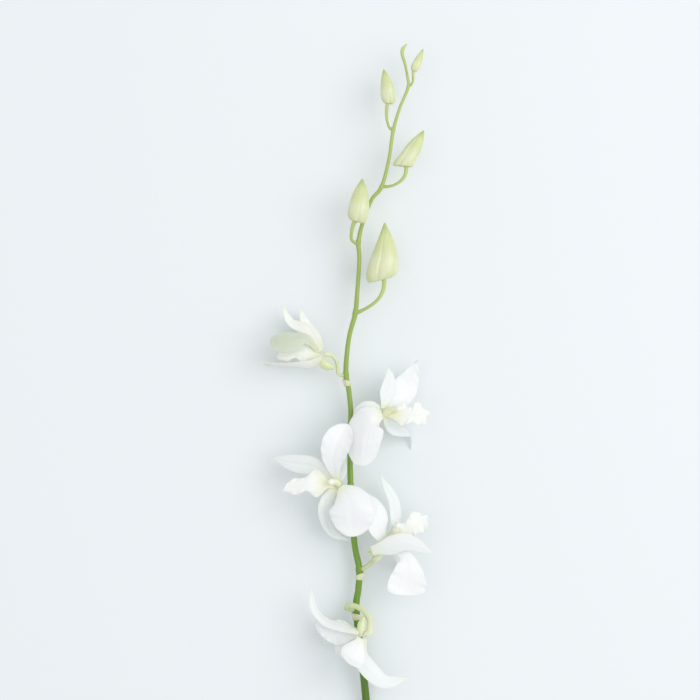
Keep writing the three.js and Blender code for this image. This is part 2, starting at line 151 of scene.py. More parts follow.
# %% Round pieces
def grow_round(name, stations, u, sides, shape, finish, node=None,
               depth=1.0, slant=0.0, slant_reach=1.0):
    places, headings, radii = follow(stations, u)
    rows = len(u)
    turn = np.linspace(0, 2 * math.pi, sides, endpoint=False)
    rings = np.empty((rows, sides, 3))
    across = np.array((1.0, 0.0, 0.01))
    for row in range(rows):
        across = unit(across - headings[row] * (across @ headings[row]))
        up = np.cross(headings[row], across)
        radius = radii[row] * shape(turn, u[row], row)
        sideways = radius * np.cos(turn)
        tipping = slant * max(1 - u[row] / slant_reach, 0)
        rings[row] = (places[row] + sideways[:, None] * across
                      + (radius * depth * np.sin(turn))[:, None] * up
                      + (tipping * sideways)[:, None] * headings[row])
    around = np.linspace(0, 1, sides + 1)
    return grow(name, rings, rings[0].mean(0), rings[-1].mean(0), around, u, finish, node)


# %% [markdown]
# A blade is a petal, sepal, lip or bract: a lens-shaped section, thick at the midrib and thin at the
# margin, rolled into a gutter. The roll is worked out along an arc, so a strongly rolled blade keeps
# its real width instead of stretching. Soft waves, a midrib groove and a ruffled margin are added to
# the surface itself.

# %% Blades
LAST_BLADE_ROW = 0.992
RUFFLES = 14
FRILLS = 41
FRILL_SHARE = 0.45
MIDRIB_DEPTH = 0.3


def grow_blade(name, stations, half_width, curl, inner, thickness, ruffle, finish, node=None,
               rows=64, sides=44, keel=0.0, seed=0.0):
    u = LAST_BLADE_ROW * (1 - (1 - np.linspace(0, 1, rows)) ** 1.3)
    places, headings, _ = follow(stations, u)
    sideways = unit(np.cross(headings, inner(u)))
    up = np.cross(sideways, headings)
    turn = np.linspace(0, 2 * math.pi, sides, endpoint=False)
    reach = np.cos(turn)[None, :]
    half = half_width(u)[:, None]
    roll = curl(u)[:, None] * half
    angle = roll * reach
    along = u[:, None]
    lift = ruffle * smooth(along) * reach**2 * np.sin(RUFFLES * along + 2 * reach)
    lift += (FRILL_SHARE * ruffle * smooth(along * 2) * np.abs(reach) ** 3
             * np.sin(FRILLS * along + 5 * reach + seed))
    lift += 0.25 * half / 6 * np.sin(5 * along + 2.3 * reach + seed) * smooth(along * 3)
    lift -= MIDRIB_DEPTH * bump(reach, 0, 0.09) * smooth(along * 4) * smooth((1 - along) * 4)
    lift += keel * (bump(np.abs(reach), 0.16, 0.07) + bump(reach, 0, 0.05)) * bump(along, 0.36, 0.22)
    flesh = thickness / 2 * np.sin(turn)[None, :]
    out = half * np.sin(angle) / roll - flesh * np.sin(angle)
    rise = half * (1 - np.cos(angle)) / roll + flesh * np.cos(angle) + lift
    rings = places[:, None] + out[..., None] * sideways[:, None] + rise[..., None] * up[:, None]
    rings = rings[:, ::-1]
    across = np.append(reach[0, ::-1], reach[0, -1]) / 2 + 0.5
    tip = follow(stations, np.array((1.0,)))[0][0]
    return grow(name, rings, rings[0].mean(0), tip, across, u, finish, node)


def petal_outline(width, claw, widest, tip, shoulder=2.0):
    def half_width(u):
        opening = np.sin(math.pi / 2 * np.minimum(u / widest, 1)) ** shoulder
        closing = (1 - np.maximum((u - widest) / (1 - widest), 0) ** 2) ** tip
        return mix(claw, width, opening) / 2 * closing
    return half_width


def lip_outline(side, middle, claw):
    def half_width(u):
        lobes = max(side - claw, 0) * bump(u, 0.36, 0.15) + (middle - claw) * bump(u, 0.76, 0.19)
        return (claw + lobes) / 2 * np.sqrt(1 - u**8)
    return half_width


# %% [markdown]
# Finishes start from one small helper that adds a shader node and wires it in the same breath.
# Colours are given as they look on screen and turned into the linear values that shaders want.

# %% Shader helpers
def colour(red, green, blue):
    linear = [(c / 255 / 12.92) if c < 10.3 else ((c / 255 + 0.055) / 1.055) ** 2.4
              for c in (red, green, blue)]
    return (*linear, 1)


def add(tree, kind, settings=None, **sockets):
    node = tree.nodes.new("ShaderNode" + kind)
    for key, value in (settings or {}).items():
        setattr(node, key, value)
    for key, value in sockets.items():
        socket = node.inputs[key.replace("_", " ")]
        if isinstance(value, bpy.types.NodeSocket):
            tree.links.new(value, socket)
        else:
            socket.default_value = value
    return node


def ramp(tree, factor, *stops):
    node = add(tree, "ValToRGB", Fac=factor)
    for index, (at, shade) in enumerate(stops):
        stop = node.color_ramp.elements[index] if index < 2 else node.color_ramp.elements.new(at)
        stop.position = at
        stop.color = shade
    return node.outputs["Color"]


def blend(tree, factor, low, high, mode="MIX"):
    node = add(tree, "Mix", {"data_type": "RGBA", "blend_type": mode})
    for socket, value in ((node.inputs[0], factor), (node.inputs[6], low), (node.inputs[7], high)):
        if isinstance(value, bpy.types.NodeSocket):
            tree.links.new(value, socket)
        else:
            socket.default_value = value
    return node.outputs[2]


def start_finish(name):
    finish = bpy.data.materials.new(name)
    finish.use_nodes = True
    tree = finish.node_tree
    growth = add(tree, "UVMap", {"uv_map": "growth"}).outputs["UV"]
    split = add(tree, "SeparateXYZ", Vector=growth)
    return finish, tree, tree.nodes["Principled BSDF"], growth, split.outputs["Y"]


# %% [markdown]
# Petal flesh is a thin sheet of water-filled cells. Light enters it, scatters and leaves again on
# both sides, which is why the shaded side of a white petal glows a soft grey instead of going dark.
# Subsurface scattering with a short reach gives that. Veins run from the claw to the tip: bands
# across the UV map converge by themselves where the blade narrows. Near the heart the white turns
# yellow green, and sepals keep a little green at their tips.

# %% Petal flesh
def petal_flesh(name, foot, body, tip, foot_reach, vein_shade, rough=0.5):
    finish, tree, shader, growth, along = start_finish(name)
    cloud = add(tree, "TexNoise", Vector=growth, Scale=3.0, Detail=3.0).outputs["Fac"]
    shift = add(tree, "MapRange", Value=cloud, To_Min=-0.07, To_Max=0.07).outputs["Result"]
    height = add(tree, "Math", {"operation": "ADD"})
    tree.links.new(along, height.inputs[0])
    tree.links.new(shift, height.inputs[1])
    base = ramp(tree, height.outputs[0], (0.0, foot), (foot_reach, body), (0.8, body), (1.0, tip))
    stretch = add(tree, "Mapping", Vector=growth, Scale=(1.0, 0.16, 1.0))
    veins = add(tree, "TexWave", {"wave_profile": "SIN"}, Vector=stretch.outputs["Vector"],
                Scale=4.5, Distortion=3.2, Detail=3.0, Detail_Scale=2.4).outputs["Fac"]
    strength = add(tree, "MapRange", Value=veins, From_Min=0.55, To_Min=0.0, To_Max=0.5)
    base = blend(tree, strength.outputs["Result"], base, vein_shade)
    tree.links.new(base, shader.inputs["Base Color"])
    grain = add(tree, "TexNoise", Vector=growth, Scale=55.0, Detail=2.0).outputs["Fac"]
    fine = add(tree, "Bump", Strength=0.08, Distance=0.0002, Height=grain).outputs["Normal"]
    relief = add(tree, "Bump", Strength=0.16, Distance=0.0003, Height=veins, Normal=fine)
    tree.links.new(relief.outputs["Normal"], shader.inputs["Normal"])
    shader.inputs["Roughness"].default_value = rough
    shader.inputs["Subsurface Weight"].default_value = 0.45
    shader.inputs["Subsurface Radius"].default_value = (1.0, 1.0, 0.85)
    shader.inputs["Subsurface Scale"].default_value = 0.0016
    shader.inputs["Sheen Weight"].default_value = 0.15
    shader.inputs["Sheen Roughness"].default_value = 0.4
    shader.inputs["Specular IOR Level"].default_value = 0.35
    return finish


WHITE = colour(247, 248, 247)
petal_white = petal_flesh("petal_white", colour(234, 238, 206), WHITE, colour(248, 250, 247),
                          0.2, colour(242, 245, 243))
sepal_white = petal_flesh("sepal_white", colour(232, 236, 206), colour(239, 243, 241),
                          colour(232, 237, 222), 0.24, colour(232, 237, 232))
lip_white = petal_flesh("lip_white", colour(238, 235, 170), colour(248, 249, 243),
                        colour(249, 250, 248), 0.42, colour(236, 240, 216))
young_flesh = petal_flesh("young_flesh", colour(234, 238, 204), colour(247, 248, 239),
                          colour(228, 233, 214), 0.3, colour(238, 242, 226))
# Painted shade: a darker, greyer green flesh that stands in for the shade on the back of the
# half-open flower's outer left petal.
painted_shade_flesh = petal_flesh("painted_shade_flesh", colour(216, 222, 184), colour(206, 213, 195),
                           colour(202, 209, 190), 0.34, colour(194, 203, 180))
print("petal finishes:", len(bpy.data.materials))

# %% [markdown]
# Stem, stalks and buds have a smooth waxy skin: a clear reflection over a slightly translucent
# green. The colour changes with age, deep green at the cut end and yellow green at the growing
# tip, so the ramp runs along the growth. Long thin noise makes the faint fibres of the stem.

# %% Green skin
def green_skin(name, shades, streaks, rough, glow):
    finish, tree, shader, growth, along = start_finish(name)
    base = ramp(tree, along, *shades)
    stretch = add(tree, "Mapping", Vector=growth, Scale=streaks)
    fibres = add(tree, "TexNoise", Vector=stretch.outputs["Vector"], Scale=1.0, Detail=4.0)
    fade = add(tree, "MapRange", Value=fibres.outputs["Fac"], From_Min=0.35, From_Max=0.75,
               To_Min=0.0, To_Max=0.5).outputs["Result"]
    shade = blend(tree, fade, base, blend(tree, 1.0, base, colour(226, 232, 178), "MULTIPLY"))
    tree.links.new(shade, shader.inputs["Base Color"])
    relief = add(tree, "Bump", Strength=0.25, Distance=0.0002, Height=fibres.outputs["Fac"])
    tree.links.new(relief.outputs["Normal"], shader.inputs["Normal"])
    shader.inputs["Roughness"].default_value = rough
    shader.inputs["Subsurface Weight"].default_value = glow
    shader.inputs["Subsurface Radius"].default_value = (0.9, 1.0, 0.4)
    shader.inputs["Subsurface Scale"].default_value = 0.0012
    return finish


stem_skin = green_skin(
    "stem_skin",
    ((0.0, colour(80, 110, 28)), (0.24, colour(86, 120, 30)), (0.34, colour(112, 152, 46)),
     (0.52, colour(128, 162, 64)), (0.68, colour(156, 178, 90)), (0.86, colour(174, 190, 108)),
     (1.0, colour(190, 202, 132))),
    (26.0, 60.0, 1.0), 0.38, 0.12)
stalk_skin = green_skin(
    "stalk_skin", ((0.0, colour(172, 190, 104)), (1.0, colour(204, 214, 146))),
    (16.0, 3.0, 1.0), 0.4, 0.25)
flower_stalk_skin = green_skin(
    "flower_stalk_skin", ((0.0, colour(206, 215, 164)), (0.4, colour(218, 224, 188)),
                          (1.0, colour(230, 233, 206))),
    (16.0, 3.0, 1.0), 0.42, 0.3)
bud_skin = green_skin(
    "bud_skin",
    ((0.0, colour(220, 224, 184)), (0.35, colour(229, 233, 200)), (0.75, colour(215, 222, 170)),
     (1.0, colour(180, 196, 116))),
    (14.0, 3.0, 1.0), 0.45, 0.3)
column_skin = green_skin(
    "column_skin", ((0.0, colour(220, 227, 180)), (0.6, colour(236, 239, 208)),
                    (1.0, colour(244, 244, 228))),
    (8.0, 3.0, 1.0), 0.38, 0.35)
bract_skin = green_skin(
    "bract_skin", ((0.0, colour(214, 219, 176)), (0.6, colour(230, 230, 204)),
                   (1.0, colour(216, 208, 176))),
    (12.0, 3.0, 1.0), 0.6, 0.1)
sheath_skin = green_skin(
    "sheath_skin", ((0.0, colour(126, 146, 70)), (0.5, colour(158, 162, 104)),
                    (1.0, colour(190, 176, 132))),
    (22.0, 3.0, 1.0), 0.55, 0.1)
print("green finishes made")

# %% [markdown]
# The flower stem zigzags from joint to joint and thins towards its tip. Each joint is a little
# swollen and carries the pale ring of its bract, and faint ribs run between joints. The slanted cut
# at the thick end is the florist's.

# %% Flower stem
STEM = [
    [12.5, 0, 2.5, 2.45],
    [12.2, 40, 3.8, 2.3],
    [10.6, 75, 5, 2.15],
    [8.3, 105, 6.2, 2],
    [6.2, 125, 7.2, 1.9],
    [3.3, 150.8, 8.6, 1.85],
    [4.4, 162, 9.2, 1.7],
    [4.9, 172.1, 9.8, 1.75],
    [2.6, 184, 10.5, 1.6],
    [0.8, 202, 11.4, 1.55],
    [0.3, 216, 12, 1.6],
    [0, 231, 12.6, 1.45],
    [0.2, 245.5, 13.2, 1.5],
    [0.4, 255, 13.4, 1.35],
    [-0.7, 266.5, 13.9, 1.3],
    [-2.1, 274, 14.1, 1.4],
    [-1.7, 284, 14.4, 1.25],
    [-0.2, 295, 14.6, 1.2],
    [2.8, 306.5, 15, 1.3],
    [4, 320, 15.2, 1.1],
    [4.9, 335, 15.5, 1.1],
    [4.4, 342.9, 15.7, 1.2],
    [6.6, 353, 15.9, 1.05],
    [11.2, 365, 16.2, 1],
    [16.4, 371.8, 16.5, 1.05],
    [20.2, 386, 16.8, 0.9],
    [22.4, 400.6, 17.1, 0.95],
    [25.8, 412.5, 17.4, 0.8],
    [30.2, 423.5, 17.8, 0.85],
    [29.6, 430, 18, 0.7],
]
JOINTS = (40, 75, 150.8, 172.1, 216, 245.5, 274, 306.5, 342.9, 371.8, 400.6, 423.5)
STEM_ROWS = 700
stem_place = follow(STEM, np.linspace(0, 1, STEM_ROWS))[0]
joint_places = [np.abs(stem_place[:, 1] - joint).argmin() / (STEM_ROWS - 1) for joint in JOINTS]


def stem_shape(turn, u, row):
    swelling = sum(0.16 * math.exp(-(((u - at) / 0.0032) ** 2)) for at in joint_places)
    crease = sum(0.1 * math.exp(-(((u - at - 0.006) / 0.0012) ** 2)) for at in joint_places)
    ribs = 0.018 * np.cos(9 * turn + 12 * u)
    return 1 + swelling - crease + ribs


stem = grow_round("fine_flower_stem", STEM, np.linspace(0, 1, STEM_ROWS), 28, stem_shape,
                  stem_skin, "flower_stem", slant=0.5, slant_reach=0.01)
TIP_BUD = [
    [29.4, 431.1, 18, 0.65],
    [28.3, 436.2, 18.1, 0.75],
    [27.1, 440.2, 18.2, 0.9],
    [27.4, 443.2, 18.2, 1],
    [29.5, 445.9, 18.2, 0.35],
]
grow_round("fine_tip_bud", [STEM[-1], *TIP_BUD], np.linspace(0, 1, 60), 20,
           lambda turn, u, row: 1 + 0.05 * np.cos(3 * turn), stalk_skin, "tip_bud")
fine_low, fine_high = (np.array(corner) for corner in (stem.bound_box[0], stem.bound_box[6]))
cad_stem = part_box("flower_stem")
print("stem off its CAD node, mm:", np.round((fine_low - cad_stem[0]) / MM, 2),
      np.round((fine_high - cad_stem[1]) / MM, 2))

# %% [markdown]
# A bud is three sepals still closed over the petals. Each sepal overlaps its neighbour, so the
# radius steps a little at three seams, and the foot is dimpled where the stalk goes in. The rings
# therefore start inside the foot, come out over its rounded rim and only then run to the tip.

# %% Buds
BUDS = [
    dict(
        body=[
            [15.9, 323.2, 17.6, 7.4],
            [16.7, 328, 17.8, 8],
            [17.8, 334.5, 18, 7.1],
            [18.3, 343, 18, 4.5],
            [18, 353, 18, 0.3],
        ],
        slant=0.42,
        stalk=[
            [4.7, 306.9, 15.2, 0.8],
            [10.2, 309.7, 16, 0.8],
            [14.6, 313.4, 16.8, 0.9],
            [17.1, 317.8, 17.4, 1.05],
            [17.7, 322.6, 17.8, 1.2],
        ],
    ),
    dict(
        body=[
            [3.4, 353.3, 22.2, 4.5],
            [4, 357.2, 22.2, 5.4],
            [4.7, 362.4, 22.2, 5.2],
            [5.6, 368.8, 22, 3.7],
            [6.4, 375.6, 21.6, 0.3],
        ],
        slant=-0.1,
        stalk=[
            [2.5, 342.9, 16, 0.8],
            [0.7, 344.6, 17, 0.8],
            [0.9, 348.6, 18.8, 0.95],
            [1.9, 352.4, 20.8, 1.15],
        ],
    ),
    dict(
        body=[
            [27.2, 382.3, 18, 5.6],
            [29.8, 386.6, 18, 4.4],
            [32.8, 391.4, 18, 4],
            [35.8, 396.4, 18, 2.5],
            [38.3, 400.9, 18, 0.25],
        ],
        slant=0.46,
        stalk=[
            [18.2, 371.9, 16.6, 0.7],
            [22, 372.4, 17, 0.7],
            [25.7, 374.3, 17.3, 0.8],
            [28.4, 377.4, 17.6, 0.95],
            [29.2, 381.3, 17.9, 1.05],
        ],
    ),
    dict(
        body=[
            [20, 414.8, 18, 3],
            [19.7, 418, 18, 3.7],
            [19.2, 422.6, 18, 3.6],
            [18.4, 428, 18, 2.3],
            [17.4, 432.7, 18, 0.25],
        ],
        slant=-0.2,
        stalk=[
            [20.7, 402.2, 17.3, 0.65],
            [19.3, 405.8, 17.5, 0.65],
            [19, 410, 17.8, 0.85],
            [19.4, 414.2, 18, 1.05],
        ],
    ),
    dict(
        body=[
            [33.1, 431.6, 18, 1.8],
            [34, 434, 18, 2.3],
            [35.3, 437, 18, 2.2],
            [36.7, 440.3, 18, 1.3],
            [38, 443.3, 18, 0.2],
        ],
        slant=0,
        stalk=[
            [31.6, 424.6, 17.8, 0.6],
            [32.7, 426.8, 17.9, 0.6],
            [32.8, 431, 18, 0.75],
        ],
    ),
]
BUD_DEPTH = 0.78
SEAMS = (4.42, 4.8, 4.3, 4.9, 4.6)
BUD_STEPS = np.concatenate((np.linspace(0.09, 0, 10), np.linspace(0, 1, 90)[1:]))
RIM = 9
THIRD = 2 * math.pi / 3


def bud_shape(seam):
    def shape(turn, u, row):
        if row < RIM:
            return np.full_like(turn, mix(0.15, 0.72, row / RIM))
        rounding = mix(0.72, 1, math.sqrt(1 - (1 - min(u / 0.13, 1)) ** 2))
        share = ((turn - seam) / THIRD) % 1
        off = THIRD * np.minimum(share, 1 - share)
        overlap = (0.085 * (share - 0.5) - 0.06 * bump(off, 0, 0.06)) * smooth(u * 5)
        dimple = 0.17 * bump(off, 0, 0.26) * (1 - smooth(u / 0.26))
        return rounding * (1 + overlap - dimple)
    return shape


def from_stem(stalk):
    """The stalk with its foot carried on into the stem."""
    start = np.array(stalk[0][:3])
    nearest = stem_place[np.linalg.norm(stem_place - start, axis=1).argmin()]
    return [[*nearest, stalk[0][3]], *stalk]


def stalk_shape(turn, u, row):
    return 1 + 0.45 * math.exp(-((u / 0.12) ** 2)) + 0.03 * np.cos(6 * turn + 4 * u)


for number, (bud, seam) in enumerate(zip(BUDS, SEAMS), 1):
    name = f"bud_{number}"
    grow_round(f"fine_{name}", bud["body"], BUD_STEPS, 96, bud_shape(seam), bud_skin, name,
               depth=BUD_DEPTH, slant=bud["slant"], slant_reach=0.3)
    neck = mix(np.array(bud["body"][0][:3]), np.array(bud["body"][1][:3]), 0.5)
    stalk = [*from_stem(bud["stalk"]), [*neck, 1.1 * bud["stalk"][-1][3]]]
    grow_round(f"fine_{name}_stalk", stalk, np.linspace(0, 1, 70), 20, stalk_shape, stalk_skin,
               f"{name}_stalk")
print("buds:", len(BUDS))

# %% [markdown]
# A dendrobium flower has three sepals outside, two petals and a lip inside, and a column in the
# middle. Stamens and pistil are fused in the column, which carries a small cap over the pollen. Each
# blade is written as a short record: the route of its midrib from the heart of the flower, its
# width, where it is widest, and the way its inner side looks.

# %% Flower measurements
FLOWERS = [
    dict(
        heart=[6.2, 139.8, 22],
        stalk=[
            [0.4, 151.4, 9.4, 1.3],
            [-2, 152.8, 12, 1.4],
            [0.4, 154.2, 15, 1.4],
            [5.6, 152.6, 17.2, 1.4],
            [10, 148, 19.2, 1.5],
            [10.4, 143.2, 20.8, 1.6],
            [9.6, 140.6, 21.9, 1.7],
        ],
        column=[
            [1, 9.2, -1.8, 0.8],
            [0, 5, -2, 2.3],
            [-0.8, 0.4, -2.2, 1.8],
            [-3.8, -1.6, -6.8, 1.3],
        ],
        lip=dict(
            route=[[-1.6, -3.8, -3.6], [-6, -6.8, -6.4], [-9.6, -9.4, -8.4], [-12.6, -12, -9.6]],
            side=11, middle=17, claw=3, faces=[-0.3, -0.2, -0.93], curl=[0.06, 0.02], ruffle=1,
        ),
        petals=dict(
            dorsal_sepal=dict(
                route=[[-3.2, 2.4, -0.2], [-11.5, 4, -1.8], [-19, 6.6, -3.5], [-25, 13.5, -5],
                       [-26.8, 25.4, -6]],
                width=6.6, claw=4, widest=0.3, tip=1.1, faces=[-0.2, -0.75, -0.6], curl=0.06,
            ),
            left_sepal=dict(
                route=[
                    [0.4, -3.6, 0.2], [-0.4, -11, 0.4], [5, -19, 1.4], [12.6, -24.6, -1],
                    [24.4, -22.6, -3.5],
                ],
                width=9.4, claw=5, widest=0.4, tip=1, faces=[-0.2, -0.2, -0.95], curl=0.04,
            ),
            right_sepal=dict(
                route=[[-3.2, 2.4, -5], [-9, 0.5, -10], [-16, -3, -14], [-21, -8, -18]],
                width=8, claw=4, widest=0.5, tip=1, faces=[-0.2, -0.4, -0.9], curl=0.03,
            ),
            left_petal=dict(
                route=[[-1.2, -3, 2.6], [-3.2, -6.6, 6], [-5, -10.4, 11], [-6, -12.4, 18]],
                width=14, claw=4, widest=0.5, tip=0.5, faces=[-0.5, -0.75, -0.45], curl=0.05,
            ),
            right_petal=dict(
                route=[[-4, 0.4, -2.4], [-9, 0, -5.4], [-16.5, 1.4, -8], [-24.6, 3.8, -9.6]],
                width=13.5, claw=4.5, widest=0.45, tip=0.9, faces=[-0.1, -0.35, -0.93],
                curl=0.03, ruffle=0.7,
            ),
        ),
    ),
    dict(
        heart=[19.8, 185.6, 20],
        stalk=[
            [7.3, 173, 10.6, 1.1],
            [10.6, 175.6, 12.6, 1.3],
            [12.6, 177.6, 15, 1.5],
            [13.8, 179, 17.4, 1.8],
        ],
        column=[
            [-10.6, -4.4, 0.4, 0.9],
            [-6, -2.8, 0, 2.2],
            [-1.4, -0.6, -0.6, 1.9],
            [1.8, 3.6, 1.6, 1.7],
            [4.6, 10.6, 5.2, 1.6],
        ],
        lip=dict(
            route=[[4.2, 0.6, 0.2], [9, 6.6, 1.2], [14, 11.2, 1], [20.6, 15.4, -1.5]],
            side=15, middle=13, claw=3, faces=[-0.1, 0.1, 1], curl=[0.13, 0.02], ruffle=0.9,
        ),
        petals=dict(
            dorsal_sepal=dict(
                route=[[0.4, 3.4, -2], [3.6, 11, -3.4], [3, 22, -4.4], [-0.8, 30, -4.4],
                       [-4.6, 37.7, -4]],
                width=7, claw=4.5, widest=0.4, tip=1.1, faces=[0.5, 0, 0.85], curl=0.06,
            ),
            left_sepal=dict(
                route=[[-8.8, -2.4, 3.8], [-1, -0.2, 5.8], [9.5, 2.2, 6.4], [23, -4, 2.5]],
                width=10.4, claw=5, widest=0.36, tip=1, faces=[0.1, 0.2, -1], curl=0.05,
            ),
            right_sepal=dict(
                route=[[1.6, -2.6, -2.8], [6, -6, -8], [10, -11, -13], [13, -17, -17.8]],
                width=8, claw=3.5, widest=0.5, tip=1, faces=[0.4, -0.1, 0.9], curl=0.03,
            ),
            left_petal=dict(
                route=[[-3.2, 1.8, 1.2], [-5.4, 9, 2.6], [-7, 18.5, 2.6], [-13.6, 28.4, 0]],
                width=12, claw=4.5, widest=0.45, tip=1, faces=[0.35, 0.05, 0.93], curl=0.04,
                ruffle=0.3,
            ),
            right_petal=dict(
                route=[[2.6, -2.8, 0.8], [8.4, -5, 2.6], [10, -12, 4.4], [9, -25.4, 2.6]],
                width=20.5, claw=2.4, widest=0.86, tip=0.36, faces=[0.1, 0.1, 1], curl=0.02,
                ruffle=0.4,
            ),
        ),
    ),
    dict(
        heart=[-6.2, 217.8, 22],
        stalk=[
            [-2.1, 212.4, 12.6, 1.1],
            [-5, 210.4, 13.6, 1.2],
            [-7.6, 212.2, 15.4, 1.4],
            [-7, 215.2, 17.6, 1.7],
        ],
        column=[
            [0.6, -1.6, -1.6, 1.2],
            [-0.1, 0.1, 0.6, 1.8],
            [-1.1, 1.3, 3.6, 1.6],
            [-3.4, 1.6, 7, 1.5],
        ],
        lip=dict(
            route=[[-3.2, -1.2, 1.2], [-9, 0.2, 2.8], [-17, 0, 3.6], [-28.3, -3.2, 2]],
            side=15, middle=9, claw=3, faces=[0.05, 0.15, 1], curl=[0.14, 0.02], ruffle=0.6,
        ),
        petals=dict(
            dorsal_sepal=dict(
                route=[[1.2, 3, -1.4], [1.8, 8, -2], [0.4, 16, -3.5]],
                width=6.6, claw=4, widest=0.45, tip=0.9, faces=[-0.4, -0.2, 0.9], curl=0.05,
            ),
            left_sepal=dict(
                route=[[-3.4, 1, -1.4], [-12, 8.6, -2.4], [-22, 10.4, -4], [-34, 12.6, -7]],
                width=10.4, claw=4.5, widest=0.5, tip=0.9, faces=[0.1, -0.25, 0.95], curl=0.04,
            ),
            right_sepal=dict(
                route=[[-1.7, -3.4, -1.4], [-6, -9, -3], [-6.6, -17, -6], [-2.8, -26, -9],
                       [5.5, -30.5, -11]],
                width=7.6, claw=4.5, widest=0.35, tip=1, faces=[0.3, 0.1, 0.95], curl=0.04,
            ),
            left_petal=dict(
                route=[[-1.8, 3.4, 1], [-2.4, 11, 3.2], [-0.4, 21, 4], [5, 31, 1.5]],
                width=16, claw=4, widest=0.6, tip=0.6, faces=[-0.35, -0.3, 0.9], curl=0.07,
                ruffle=0.3,
            ),
            right_petal=dict(
                route=[[2.8, -2.2, 1.6], [5.4, -7.5, 4.5], [7, -15.5, 5.5], [8.4, -27, 3]],
                width=23.5, claw=3, widest=0.5, tip=0.5, faces=[-0.15, 0.1, 1], curl=-0.025,
                ruffle=0.4,
                shoulder=1,
            ),
        ),
    ),
    dict(
        heart=[17.7, 254.8, 20],
        stalk=[
            [2.3, 244.8, 13.4, 1.1],
            [7, 243.8, 14, 1.2],
            [11.6, 247, 15.4, 1.4],
            [14.4, 251.2, 17.2, 1.7],
        ],
        column=[
            [-1, -3.2, 0.6, 1],
            [0.5, -0.6, 0.9, 1.8],
            [3.4, 1.3, 2.4, 1.6],
            [7, 2, 4.6, 1.5],
        ],
        lip=dict(
            route=[[3.4, -2.2, 0.4], [9, -1.6, 2], [15.5, -1.2, 2.2], [23.8, -0.2, -0.5]],
            side=13, middle=14, claw=3, faces=[0, 0.4, 0.9], curl=[0.11, 0.02], ruffle=0.9,
        ),
        petals=dict(
            dorsal_sepal=dict(
                route=[[-0.4, 3.2, -0.4], [1.4, 10, -0.6], [2.6, 17, 0], [2, 23.5, 1.6]],
                width=10, claw=4, widest=0.4, tip=1.1, faces=[0.6, -0.1, 0.8], curl=0.05,
            ),
            left_sepal=dict(
                route=[[-3, 1.4, 0.2], [-7.5, 1.6, 1.8], [-12, -1.4, 2], [-15, -9, 0.4]],
                width=10, claw=5, widest=0.4, tip=0.8, faces=[0.3, -0.2, -0.93], curl=0.03,
            ),
            right_sepal=dict(
                route=[
                    [0.8, -3.8, -2.4], [3.6, -8, -6.4], [8.4, -10, -11], [13.4, -12, -15.5],
                    [14.4, -20.5, -19.8],
                ],
                width=9, claw=4, widest=0.35, tip=1.2, faces=[0.2, 0.4, 0.9], turned=[0.6, 0.75, 0.1],
                curl=0.04,
            ),
            left_petal=dict(
                route=[[-2.4, -0.4, 3], [-8, -4, 5.8], [-11.2, -13.6, 7.4], [-12.2, -27.4, 5.8]],
                width=20.5, claw=5, widest=0.45, tip=0.42, faces=[0.4, 0.15, -0.9], curl=0.03,
                ruffle=0.3,
                shoulder=1.2,
            ),
            right_petal=dict(
                route=[[2.9, 2.4, -3], [7.6, 8.2, -7], [12, 15, -8.8], [17.6, 27, -5]],
                width=15.5, claw=3.5, widest=0.42, tip=1.5, faces=[0.2, -0.35, 0.9], curl=0.03,
                ruffle=0.4,
            ),
        ),
    ),
    dict(
        heart=[-14.6, 284.4, 18],
        stalk=[
            [-4.2, 273.9, 14.2, 0.9],
            [-6.3, 275, 14.8, 0.9],
            [-6.6, 279.6, 15.6, 1],
            [-8.6, 283.6, 16.8, 1.1],
            [-11.8, 284.9, 17.8, 1.3],
        ],
        column=[
            [6.4, -6.8, -0.4, 0.9],
            [2, -5, -1, 2.7],
            [-0.8, -2, -1.4, 1.9],
            [-3.4, 0.6, -1.8, 1.3],
            [-6.4, 2.2, -1.8, 1.2],
        ],
        lip=dict(
            route=[[-3.4, -1.2, 1.4], [-9.5, 1, 1.6], [-16, 1, 1.6], [-23.4, -1.4, 1]],
            side=10, middle=8.5, claw=3, faces=[0, 0.3, 0.95], curl=[0.09, 0.04], ruffle=0.3,
        ),
        petals=dict(
            dorsal_sepal=dict(
                route=[[-1.2, 3, -7.6], [-4, 9, -9.6], [-8, 15, -11], [-11.8, 24.8, -10.4]],
                width=9, claw=5.5, widest=0.32, tip=1.2, faces=[-0.4, -0.45, -0.8], curl=0.05,
            ),
            left_sepal=dict(
                route=[[0.4, -4.6, 3.4], [-7, -5, 5], [-19, -4.7, 4.5], [-34.5, -3.7, 0]],
                width=7.4, claw=6, widest=0.16, tip=1.6, faces=[0.1, 0.75, -0.65], turned=[0, 1, 0.1],
                curl=0.04,
            ),
            right_sepal=dict(
                route=[[-1.8, -5.4, -3.2], [-9, -5.6, -7], [-19, -5.6, -12.5], [-31, -4.8, -17.8]],
                width=9, claw=5, widest=0.35, tip=1, faces=[0, 1, 0], curl=0.03,
            ),
            left_petal=dict(
                route=[[-3.8, 5.2, 3], [-8.5, 8.4, 5], [-16, 7.2, 7], [-26.7, 6.6, 5.6]],
                width=11.6, claw=2.2, widest=0.72, tip=0.55, faces=[0.1, -0.4, -0.9], curl=0.05,
            ),
            right_petal=dict(
                route=[[-2.8, 2.8, -4.8], [-5, 8, -5.8], [-9.4, 14, -6.2], [-16.4, 17.4, -6.4],
                       [-20.8, 26, -5.6]],
                width=8, claw=5, widest=0.3, tip=1, faces=[-0.4, -0.5, -0.75], curl=0.05,
            ),
        ),
    ),
]
print("flowers:", len(FLOWERS))

# %% [markdown]
# The fine blades start closer to the heart than the solids do, so the flower closes where the solids
# keep their clearance. The lip gets two keels in its throat, and margins are finer and livelier than
# a collision solid needs. The half-open flower keeps its young, greener flesh; its outer left petal
# is darker grey green, which is painted shade on its back.

# %% Flowers
PETAL_THICKNESS = 0.55
LIP_THICKNESS = 0.5
INWARD = 0.5
FAR_FOOT = 8


